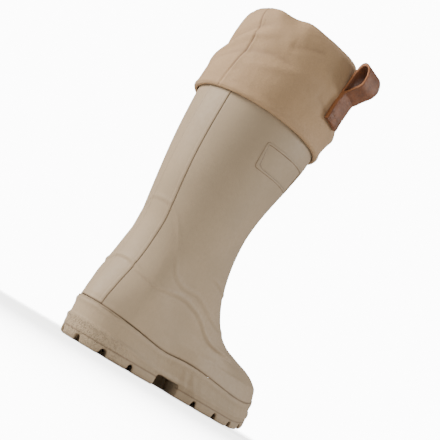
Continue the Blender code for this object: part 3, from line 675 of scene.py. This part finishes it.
def cuff_rows():
    """Height, half-width, half-depth and middle of the cuff's outer surface, from its hem up."""
    hem = LEG_TOP - CUFF_OVERLAP
    rise = LEG_TOP - INSTEP_HEIGHT
    spare = STRIP_RISE + GAP + CUFF_WALL
    legs = np.array(LEG_SECTIONS)
    heights = INSTEP_HEIGHT + (legs[:, 1] + legs[:, 3]) / 2 * rise
    rows = []
    for z in (hem, LEG_TOP + GAP):
        back, _, front, _, half, lean = hermite(heights, legs, np.array([z]))[0]
        rows.append((z, half * LEG_WIDTH + spare, (front - back) / 2 * LEG_DEPTH + spare,
                     lean * LEG_WIDTH, (front + back) / 2 * LEG_DEPTH))
    for share, half_width, half_depth, x, y in CUFF_SECTIONS:
        rows.append((hem + share * CUFF_HEIGHT, half_width * LEG_WIDTH, half_depth * LEG_DEPTH,
                     x * LEG_WIDTH, y * LEG_DEPTH))
    return np.array(rows)


CUFF_ROWS = cuff_rows()


def cuff_at(z):
    """Half-width, half-depth and middle of the cuff's plain sleeve at a height."""
    return hermite(CUFF_ROWS[:, 0], CUFF_ROWS[:, 1:], np.atleast_1d(np.asarray(z, float)))


def wrapped(degrees):
    return (degrees + 180) % 360 - 180


def circle_at(turn):
    return np.column_stack((np.cos(turn), np.sin(turn))) * CUFF_RADIUS


def cuff_relief(turn, high):
    """Way out from the cuff's plain sleeve, and how much painted shade each point takes in fold valleys and
    along the seam.
    """
    degrees = wrapped(np.degrees(turn))
    rim = high - CUFF_RIM
    hem = high - CUFF_HEM
    relief = np.zeros(len(high))
    crease_shade = np.zeros(len(high))
    for height, width, route in CUFF_FOLDS:
        route = np.array(route, float) * (DEGREE, 1.0)
        for shift in (-360, 0, 360):
            at = np.column_stack(((degrees + shift) * DEGREE, high))
            distance, along = along_route(at, route)
            fade = step_between(along, 0, 0.16) * (1 - step_between(along, 0.84, 1.0))
            relief += height * hill(distance, width) * fade
            # Folds that sink in get painted shade along their valleys
            if height < 0:
                crease_shade += 0.25 * hill(distance, width * 0.4) * fade
    for out, middle, spread, up, tall in CUFF_DENTS:
        relief += out * hill(wrapped(degrees - middle), spread) * hill(high - up, tall)
    circle = circle_at(turn)
    relief += 0.55 * waves(np.column_stack((circle, high * MM)), 0.042, 11)
    gather = waves(circle, 0.019, 21, 9)
    relief += 0.45 * gather * step_between(rim, -24, -1) - 1.6 * step_between(rim, -9, 0) ** 2
    relief += hill(hem - 3.4, 3.2) - hill(hem, 1.2)
    seam = np.interp(high, *np.array(CUFF_SEAM).T)
    beside = (degrees - seam) * DEGREE
    relief += -0.9 * hill(beside, 0.9) + 0.4 * hill(beside - 2.4, 1.7) + 0.25 * hill(beside + 2.4, 1.7)
    # Painted shade along the seam's groove, except near the hem
    crease_shade += hill(beside, 0.75) * step_between(hem, 14, 30)
    return relief * MM, np.clip(crease_shade, 0, 1)


def make_cuff():
    """Cloth sleeve, closed in one mesh: outer face, rim, inner face and hem."""
    columns = 464
    heights = np.concatenate((np.linspace(CUFF_HEM, CUFF_HEM + 10, 15)[:-1],
                              np.linspace(CUFF_HEM + 10, CUFF_RIM - 11, 80)[:-1],
                              np.linspace(CUFF_RIM - 11, CUFF_RIM, 13)))
    rows = len(heights)
    turn, high = np.meshgrid(np.linspace(0, 2 * math.pi, columns, endpoint=False), heights)
    turn, high = turn.ravel(), high.ravel()
    z = high * MM
    half_width, half_depth, x, y = cuff_at(z).T
    relief, crease_shade = cuff_relief(turn, high)
    relief += CUFF_WALL * 0.25
    # Where the cloth lies on the foam it can't be drawn in
    relief = np.where(relief < 0, relief * step_between(high, LEG_TOP / MM, LEG_TOP / MM + 7), relief)
    out = np.column_stack((np.sin(turn), -np.cos(turn), np.zeros(len(turn))))
    base = np.column_stack((x + half_width * np.sin(turn), y - half_depth * np.cos(turn), z))
    outer = base + out * relief[:, None]
    settle = waves(circle_at(turn), 0.05, 31, 5)
    outer[:, 2] += (1.6 * settle - 1.2) * step_between(high, CUFF_RIM - 41, CUFF_RIM) * MM
    # The wall is thicker at the hem beside the strip, so that it stays against the leg there
    wall = np.where(z < LEG_TOP + 0.002, CUFF_WALL, CUFF_WALL * 0.8)
    off_strip = step_between(np.abs(wrapped(np.degrees(turn))), 17, 22)
    wall += 0.8 * STRIP_RISE * off_strip * (1 - step_between(z, LEG_TOP - 0.004, LEG_TOP - 0.001))
    inner = (outer - out * wall[:, None]).reshape(rows, columns, 3)
    outer = outer.reshape(rows, columns, 3)
    rim_out = (outer[-1] + inner[-1]) / 2 + (0, 0, 0.0006)
    hem_in = (outer[0] + inner[0]) / 2 - (0, 0, 0.0003)
    grid = np.concatenate((outer, rim_out[None], inner[::-1], hem_in[None]))
    total = len(grid)
    shade = np.concatenate((crease_shade, np.zeros((total - rows) * columns)))
    run = np.concatenate((z, np.full(columns, z[-1]), z.reshape(rows, columns)[::-1].ravel(),
                          np.full(columns, z[0])))
    around = np.tile(np.linspace(0, 0.44, columns, endpoint=False), total)
    cuff = mesh_piece("cloth_cuff", grid.reshape(-1, 3), tube_faces(total, columns, wrap=True),
                      {"crease_shade": shade}, np.column_stack((around, run)))
    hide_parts("cuff")
    return cuff


# Pull loop

SPAN_STEPS = 8
LOOP_EDGE = 0.0011    # radius of the strap's rounded edges

# Sewn end of the strap seen from the side: out in strap thicknesses, up in tab heights
TAB = ((2.0, -0.5), (2.0, -0.8), (2.0, -0.96), (1.75, -1.0), (0.2, -1.0), (0.0, -0.96), (0.0, -0.8),
       (0.0, -0.5))


def strap_line(table):
    """Smooth line through a table's places, from the first to the last, as part of a closed curve."""
    points = np.array(table) * (STRAP, LOOP_LIFT)
    a, b, c, d = (np.roll(points, -k, axis=0)[:, None] for k in (-1, 0, 1, 2))
    t = np.linspace(0, 1, SPAN_STEPS, endpoint=False)[:, None]
    line = 0.5 * (2 * b + (c - a) * t + (2 * a - 5 * b + 4 * c - d) * t * t
                  + (3 * b - a - 3 * c + d) * t ** 3)
    return line.reshape(-1, 2)[:SPAN_STEPS * (len(table) - 1) + 1]


def loop_point(out, up, beside):
    """Point of the pull loop from its side view and its place across the strap."""
    fold = LEG_TOP - CUFF_OVERLAP + CUFF_HEIGHT - LOOP_LIFT * LOOP_DROP
    z = fold + up
    half_width, half_depth, x, centre = cuff_at(z)[0]
    middle = LOOP_PLACE * LEG_DEPTH
    follow = min(1.0, max(0.0, 1 - up / (LOOP_STIFF * LOOP_LIFT)))
    face = x + half_width * math.sqrt(1 - ((middle + beside * follow - centre) / half_depth) ** 2)
    return face + GAP + out, middle + beside, z


def loop_stations():
    """Places across the strap, each with how far the rounded edge draws the outline in."""
    half = LOOP_WIDTH / 2
    stations = [(-half + LOOP_EDGE * (1 - math.cos(t)), LOOP_EDGE * (1 - math.sin(t)))
                for t in np.linspace(0, math.pi / 2, 5)]
    stations += [(y, 0.0) for y in np.linspace(-half + LOOP_EDGE, half - LOOP_EDGE, 21)[1:-1]]
    return stations + [(-y, back) for y, back in stations[4::-1]]


def make_pull_loop():
    """Folded strap: its side view swept across, and closed with a flat face at either edge."""
    outer = np.concatenate((strap_line(LOOP_OUTER), np.array(TAB) * (STRAP, TAB_HEIGHT)))
    inner = strap_line(LOOP_INNER)
    narrow = 1 - 0.045 * step_between(outer[:, 1], 0.2 * LOOP_LIFT, LOOP_LIFT)
    stations = loop_stations()
    points = []
    rim = []
    for beside, back in stations:
        for (out, up), (nx, nz), squeeze in zip(outer, away_from_middle(outer), narrow):
            points.append(loop_point(out - nx * back, up - nz * back, beside * squeeze))
        for (out, up), (nx, nz) in zip(inner, away_from_middle(inner)):
            points.append(loop_point(out + nx * back, up + nz * back, beside * 0.98))
        rim += [back / LOOP_EDGE] * (len(outer) + len(inner))
    total = len(outer) + len(inner)
    starts = ((0, len(outer)), (len(outer), len(inner)))
    work = bmesh.new()
    verts = [work.verts.new(p) for p in points]
    for low in range(0, len(points) - total, total):
        for first, count in starts:
            for j in range(count):
                a, b = low + first + j, low + first + (j + 1) % count
                quad = (b, a, a + total, b + total) if first else (a, b, b + total, a + total)
                work.faces.new([verts[v] for v in quad])
    work.verts.index_update()
    for low in (0, len(points) - total):
        edges = []
        for first, count in starts:
            ring = verts[low + first:low + first + count]
            edges += [work.edges.get(pair) for pair in zip(ring, ring[1:] + ring[:1])]
        bmesh.ops.triangle_fill(work, use_beauty=True, edges=edges)
    bmesh.ops.recalc_face_normals(work, faces=work.faces)
    bmesh.ops.translate(work, vec=Vector(BOOT), verts=work.verts)
    mesh = bpy.data.meshes.new("leather_loop")
    work.to_mesh(mesh)
    work.free()
    mesh.shade_smooth()
    mesh.set_sharp_from_angle(angle=math.radians(50))
    loop = new_object("leather_loop", mesh)
    # The edge mark carries the lighter edge tone: raw leather and also a painted highlight
    mark(loop, "edge", rim)
    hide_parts("pull_loop")
    return loop


# Stitches round the sewn tab: half the seam's width, its heights, and the thread
SEAM_SIDE = 0.0118
SEAM_LOW = -0.0345
SEAM_TOP = -0.0105
STITCH = 0.0030
THREAD = 0.00034
THREAD_SIDES = 8

# One stitch: shares of its length, and the thread's height on the leather
STITCH_SHAPE = ((0.0, -0.0003), (0.2, 0.00022), (0.5, 0.00034), (0.8, 0.00022), (1.0, -0.0003))


def make_stitches():
    """Thread round the sewn tab, one short stitch after another."""
    corners = [(-SEAM_SIDE, SEAM_TOP), (-SEAM_SIDE, SEAM_LOW), (SEAM_SIDE, SEAM_LOW),
               (SEAM_SIDE, SEAM_TOP), (-SEAM_SIDE, SEAM_TOP)]
    points = []
    faces = []
    for a, b in zip(np.array(corners), np.array(corners)[1:]):
        count = round(math.dist(a, b) / STITCH)
        for k in range(count):
            begin, end = (a + (b - a) * (k + share) / count for share in (0.12, 0.88))
            spine = [(begin + (end - begin) * share, lift) for share, lift in STITCH_SHAPE]
            line = [np.array(loop_point(2 * STRAP + lift, at[1], at[0])) for at, lift in spine]
            way = (line[-1] - line[0]) / np.linalg.norm(line[-1] - line[0])
            out = np.array((1.0, 0.0, 0.0))
            across = np.cross(way, out)
            first = len(points)
            for at in line:
                for angle in np.linspace(0, 2 * math.pi, THREAD_SIDES, endpoint=False):
                    points.append(at + THREAD * (out * math.cos(angle) + across * math.sin(angle)))
            last = len(points) - THREAD_SIDES
            faces += tube_faces(len(line), THREAD_SIDES, first)
            faces += [[first + v for v in range(THREAD_SIDES)][::-1], [last + v for v in range(THREAD_SIDES)]]
    return mesh_piece("loop_stitches", points, faces)


# Materials

def put(mat, kind, inputs=None, **settings):
    """Add a node to a material or world. An input is a number, a colour or another node's socket."""
    node = mat.node_tree.nodes.new("ShaderNode" + kind)
    for key, value in settings.items():
        setattr(node, key, value)
    for key, value in (inputs or {}).items():
        if isinstance(value, bpy.types.NodeSocket):
            mat.node_tree.links.new(value, node.inputs[key])
        else:
            node.inputs[key].default_value = value
    return node


def new_material(name, **constants):
    """A material, its shader with the given constants set, and the place on the object."""
    mat = bpy.data.materials.new(name)
    mat.use_nodes = True
    shader = mat.node_tree.nodes["Principled BSDF"]
    for key, value in constants.items():
        shader.inputs[key.replace("_", " ")].default_value = value
    return mat, shader, put(mat, "TexCoord").outputs["Object"]


def noise(mat, vector, size, detail=2.0, rough=0.5):
    """Noise with features of about one size, in metres."""
    return put(mat, "TexNoise", {"Vector": vector, "Scale": 1 / size, "Detail": detail,
                                 "Roughness": rough}).outputs["Fac"]


def ranged(mat, value, low, high, to_low=0.0, to_high=1.0):
    return put(mat, "MapRange", {"Value": value, "From Min": low, "From Max": high, "To Min": to_low,
                                 "To Max": to_high}, interpolation_type="SMOOTHSTEP").outputs["Result"]


def sums(mat, operation, a, b):
    return put(mat, "Math", {0: a, 1: b}, operation=operation).outputs["Value"]


def mixed(mat, share, a, b):
    a, b = (c if isinstance(c, bpy.types.NodeSocket) else (*c, 1.0) for c in (a, b))
    return put(mat, "Mix", {0: share, 6: a, 7: b}, data_type="RGBA").outputs[2]


def scaled(colour, factor):
    return tuple(c * factor for c in colour)


def attribute(mat, name):
    return put(mat, "Attribute", attribute_name=name).outputs["Fac"]


def toned(mat, paint, value, low, high, most, tone):
    """Paint drawn towards a tone, by up to a share, as a value goes from low to high."""
    return mixed(mat, ranged(mat, value, low, high, 0.0, most), paint, tone)


def stained(mat, paint, name, depth, tone):
    """Paint drawn towards a tone where the mesh carries the named mark."""
    return mixed(mat, sums(mat, "MULTIPLY", attribute(mat, name), depth), paint, tone)


def linked(mat, socket, shader, name):
    mat.node_tree.links.new(socket, shader.inputs[name])


def bumped(mat, shader, layers):
    """Stack bump layers, each a height socket and its depth in metres."""
    normal = None
    for height, depth in layers:
        inputs = {"Height": height, "Distance": depth, "Strength": 1.0}
        if normal:
            inputs["Normal"] = normal
        normal = put(mat, "Bump", inputs).outputs["Normal"]
    linked(mat, normal, shader, "Normal")


FOAM = (0.315, 0.232, 0.146)
# Tone of the painted shade in the foam's creases and grooves
FOAM_CREASE_SHADE = (0.075, 0.042, 0.022)
CLOTH = (0.350, 0.221, 0.116)
# Tone of the painted shade in the cloth's folds and seam
CLOTH_CREASE_SHADE = (0.10, 0.055, 0.028)
CLOTH_SHEEN = (0.9, 0.76, 0.60, 1.0)
YARN = 0.0009    # width of two yarns of the weave
LEATHER = (0.165, 0.060, 0.023)
# Lighter tone of the strap's rounded edges: a raw leather edge and also a painted highlight
LEATHER_EDGE_HIGHLIGHT = (0.30, 0.115, 0.040)
THREAD_TONES = ((0.16, 0.075, 0.04), (0.26, 0.13, 0.07))
FELT_TONES = ((0.26, 0.22, 0.17), (0.42, 0.36, 0.29))
FELT_CLUMP = (0.29, 0.25, 0.20)
FELT_WORN = (0.20, 0.165, 0.125)


def foam_material(name, colour, rough, pits=False, recess_shade=False):
    mat, shader, place = new_material(name, Specular_IOR_Level=0.28)
    broad = noise(mat, place, 0.060, 3)
    fine = noise(mat, place, 0.0032, 4, 0.6)
    paint = mixed(mat, ranged(mat, broad, 0.3, 0.7), scaled(colour, 0.95), scaled(colour, 1.05))
    paint = toned(mat, paint, fine, 0.35, 0.7, 0.35, scaled(colour, 0.93))
    scuff = noise(mat, place, 0.009, 6, 0.7)
    paint = toned(mat, paint, scuff, 0.60, 0.72, 0.07, scaled(colour, 1.12))
    # Painted shade in the sole's grooves and the inserts' dimples, broken up by noise
    if recess_shade:
        recess_shade_share = sums(mat, "MULTIPLY", attribute(mat, "recess_shade"), ranged(mat, scuff, 0.35, 0.6, 0.35, 0.75))
        paint = mixed(mat, recess_shade_share, paint, scaled(colour, 0.42))
    # Painted shade in the creases and grooves that the mesh marks
    paint = stained(mat, paint, "crease_shade", 0.82, FOAM_CREASE_SHADE)
    linked(mat, paint, shader, "Base Color")
    linked(mat, ranged(mat, fine, 0.3, 0.7, rough - 0.05, rough + 0.07), shader, "Roughness")
    layers = [(noise(mat, place, 0.014, 2), 0.00018), (noise(mat, place, 0.0011, 3), 0.00006)]
    if pits:
        cells = put(mat, "TexVoronoi", {"Vector": place, "Scale": 600.0}).outputs["Distance"]
        rough_skin = sums(mat, "ADD", ranged(mat, cells, 0.15, 0.6), noise(mat, place, 0.0034, 2, 0.5))
        layers.append((sums(mat, "MULTIPLY", rough_skin, attribute(mat, "pitted")), 0.0009))
    bumped(mat, shader, layers)
    return mat


def cloth_material():
    mat, shader, place = new_material("boot_cloth", Specular_IOR_Level=0.3, Sheen_Weight=0.10,
                                      Sheen_Roughness=0.4, Sheen_Tint=CLOTH_SHEEN)
    uv = put(mat, "UVMap", uv_map="UVMap").outputs["UV"]
    ways = put(mat, "SeparateXYZ", {0: uv}).outputs[:2]
    yarns = [sums(mat, "SINE", sums(mat, "MULTIPLY", way, 2 * math.pi / YARN), 0.0) for way in ways]
    weave = sums(mat, "MULTIPLY", *yarns)
    broad = noise(mat, place, 0.035, 4)
    slub = noise(mat, place, 0.0018, 4, 0.65)
    paint = mixed(mat, ranged(mat, broad, 0.3, 0.7), scaled(CLOTH, 0.92), scaled(CLOTH, 1.06))
    paint = toned(mat, paint, slub, 0.35, 0.7, 0.4, scaled(CLOTH, 0.86))
    paint = toned(mat, paint, weave, -1.0, 1.0, 0.25, scaled(CLOTH, 1.2))
    # Painted shade in the cloth's fold valleys and along its seam groove
    paint = stained(mat, paint, "crease_shade", 0.8, CLOTH_CREASE_SHADE)
    linked(mat, paint, shader, "Base Color")
    linked(mat, ranged(mat, slub, 0.3, 0.7, 0.62, 0.8), shader, "Roughness")
    bumped(mat, shader, [(noise(mat, place, 0.012, 3), 0.0009), (slub, 0.0001), (weave, 0.00005)])
    return mat


def leather_material():
    mat, shader, place = new_material("boot_leather", Specular_IOR_Level=0.30)
    broad = noise(mat, place, 0.012, 4, 0.6)
    fine = noise(mat, place, 0.0011, 4, 0.6)
    cells = put(mat, "TexVoronoi", {"Vector": place, "Scale": 780.0},
                feature="DISTANCE_TO_EDGE").outputs["Distance"]
    stretched = put(mat, "Mapping", {"Vector": place, "Scale": (1.0, 0.35, 3.0)}).outputs["Vector"]
    lines = noise(mat, stretched, 0.0042, 3, 0.6)
    paint = mixed(mat, ranged(mat, broad, 0.3, 0.7), scaled(LEATHER, 0.72), scaled(LEATHER, 1.25))
    paint = toned(mat, paint, lines, 0.5, 0.68, 0.35, scaled(LEATHER, 1.55))
    paint = toned(mat, paint, fine, 0.4, 0.7, 0.3, scaled(LEATHER, 0.62))
    # The rounded edges are drawn lighter, as raw leather and as a painted highlight
    paint = stained(mat, paint, "edge", 0.7, LEATHER_EDGE_HIGHLIGHT)
    linked(mat, paint, shader, "Base Color")
    linked(mat, ranged(mat, fine, 0.3, 0.7, 0.42, 0.58), shader, "Roughness")
    bumped(mat, shader, [(lines, 0.0006), (ranged(mat, cells, 0.0, 0.12), 0.00012), (fine, 0.0001)])
    return mat


def thread_material():
    mat, shader, place = new_material("loop_thread", Roughness=0.65)
    twist = put(mat, "TexWave", {"Vector": place, "Scale": 900.0, "Distortion": 1.0},
                bands_direction="DIAGONAL").outputs["Fac"]
    linked(mat, mixed(mat, twist, *THREAD_TONES), shader, "Base Color")
    bumped(mat, shader, [(twist, 0.00008)])
    return mat


def felt_material():
    mat, shader, place = new_material("insole_felt", Roughness=0.95, Specular_IOR_Level=0.15,
                                      Sheen_Weight=0.3)
    fibres = noise(mat, place, 0.0013, 8, 0.8)
    clumps = noise(mat, place, 0.007, 4, 0.6)
    paint = mixed(mat, ranged(mat, fibres, 0.3, 0.7), *FELT_TONES)
    paint = toned(mat, paint, clumps, 0.4, 0.65, 0.35, FELT_CLUMP)
    paint = stained(mat, paint, "worn", 0.35, FELT_WORN)
    linked(mat, paint, shader, "Base Color")
    bumped(mat, shader, [(clumps, 0.0006), (fibres, 0.0004)])
    return mat


def finish_piece(obj, mat):
    """Every piece rides on the one body, and is shown by one material."""
    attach(obj, "root")
    obj.data.materials.clear()
    obj.data.materials.append(mat)


# Floor, light and camera

FLOOR_GLOW = 2.8
FLOOR_NEAR = 0.22
FLOOR_FAR = 0.85
BACKDROP = 15.0
WORLD_FILL = 0.45
LIGHT_TARGET = (0.0, 0.06, 0.18)

# Name, place, size, power and tint of each lamp
LAMPS = (
    ("key", (-1.2, -1.55, 1.15), 1.1, 100, (1.0, 0.985, 0.96)),
    ("side", (1.3, 1.5, 0.9), 0.8, 30, (1.0, 0.98, 0.95)),
    ("front", (0.9, -1.5, 0.5), 1.2, 10, (1.0, 1.0, 1.0)),
)


def make_floor():
    """Pale paper round the boot, which melts into the white backdrop further out."""
    mesh = bpy.data.meshes.new("floor")
    mesh.from_pydata([(-6, -6, 0), (6, -6, 0), (6, 6, 0), (-6, 6, 0)], [], [(0, 1, 2, 3)])
    floor = new_object("floor", mesh)
    floor.location.z = -0.0002
    mat, shader, place = new_material("floor_paper", Roughness=0.9, Specular_IOR_Level=0.2)
    shader.inputs["Base Color"].default_value = (0.90, 0.90, 0.89, 1.0)
    seen = put(mat, "LightPath").outputs["Is Camera Ray"]
    glow = put(mat, "Emission", {"Strength": sums(mat, "MULTIPLY", seen, FLOOR_GLOW)})
    lit = put(mat, "AddShader", {0: shader.outputs[0], 1: glow.outputs[0]})
    away = put(mat, "VectorMath", {0: place}, operation="LENGTH").outputs["Value"]
    fade = ranged(mat, away, FLOOR_NEAR, FLOOR_FAR)
    clear = put(mat, "BsdfTransparent")
    blend = put(mat, "MixShader", {0: fade, 1: lit.outputs[0], 2: clear.outputs[0]})
    linked(mat, blend.outputs[0], mat.node_tree.nodes["Material Output"], "Surface")
    mesh.materials.append(mat)


def make_lamps():
    for name, place, size, power, tint in LAMPS:
        data = bpy.data.lights.new(name, "AREA")
        data.shape = "DISK"
        data.size = size
        data.energy = power
        data.color = tint
        lamp = new_object(name, data)
        lamp.location = place
        lamp.rotation_euler = (Vector(LIGHT_TARGET) - Vector(place)).to_track_quat("-Z", "Y").to_euler()


def make_world():
    """Even pale fill light, behind which the camera sees white."""
    world = bpy.data.worlds.new("studio")
    world.use_nodes = True
    fill = world.node_tree.nodes["Background"]
    fill.inputs["Color"].default_value = (1.0, 1.0, 1.0, 1.0)
    fill.inputs["Strength"].default_value = WORLD_FILL
    backdrop = put(world, "Background", {"Strength": BACKDROP})
    seen = put(world, "LightPath").outputs["Is Camera Ray"]
    blend = put(world, "MixShader", {0: seen, 1: fill.outputs[0], 2: backdrop.outputs[0]})
    linked(world, blend.outputs[0], world.node_tree.nodes["World Output"], "Surface")
    bpy.context.scene.world = world


AZIMUTH = math.radians(39.4)
LEAN = math.radians(30.6)
CAMERA_TARGET = (-0.003, 0.066, 0.185)
CAMERA_DISTANCE = 1.06
CAMERA_MIDDLE = 0.072
CAMERA_HEIGHT = 0.014
LENS = 82.2


def make_camera():
    """The photograph's direction and lean, with the camera stopped just above the floor."""
    data = bpy.data.cameras.new("camera")
    data.sensor_width = 36.0
    data.lens = LENS
    data.clip_start = 0.02
    data.clip_end = 30.0
    camera = new_object("camera", data)
    place = Vector((math.sin(AZIMUTH) * CAMERA_DISTANCE, CAMERA_MIDDLE - math.cos(AZIMUTH) * CAMERA_DISTANCE,
                    CAMERA_HEIGHT))
    back = (place - Vector(CAMERA_TARGET)).normalized()
    right = Vector((0, 0, 1)).cross(back).normalized()
    up = back.cross(right)
    turned_up = up * math.cos(LEAN) - right * math.sin(LEAN)
    turned_right = right * math.cos(LEAN) + up * math.sin(LEAN)
    axes = Matrix((turned_right, turned_up, back)).transposed().to_4x4()
    axes.translation = place
    camera.matrix_world = axes
    bpy.context.scene.camera = camera


def main():
    upper, rings, ways = make_upper()
    upper_foam = foam_material("upper_foam_satin", scaled(FOAM, 1.03), 0.58)
    finish_piece(upper, upper_foam)
    finish_piece(make_badge_frame(rings, ways), upper_foam)
    sole = make_sole()
    finish_piece(sole, foam_material("sole_foam_matt", FOAM, 0.62, pits=True, recess_shade=True))
    matt = foam_material("insert_foam_matt", scaled(FOAM, 0.96), 0.58, recess_shade=True)
    finish_piece(make_arch_mark(sole), matt)
    for node, dimples in (("heel_insert", HEEL_DIMPLES), ("forefoot_insert", FOREFOOT_DIMPLES)):
        finish_piece(make_insert(node, "foam_" + node, dimples), matt)
    finish_piece(make_insole(), felt_material())
    finish_piece(make_cuff(), cloth_material())
    finish_piece(make_pull_loop(), leather_material())
    finish_piece(make_stitches(), thread_material())
    make_floor()
    make_world()
    make_lamps()
    make_camera()


main()
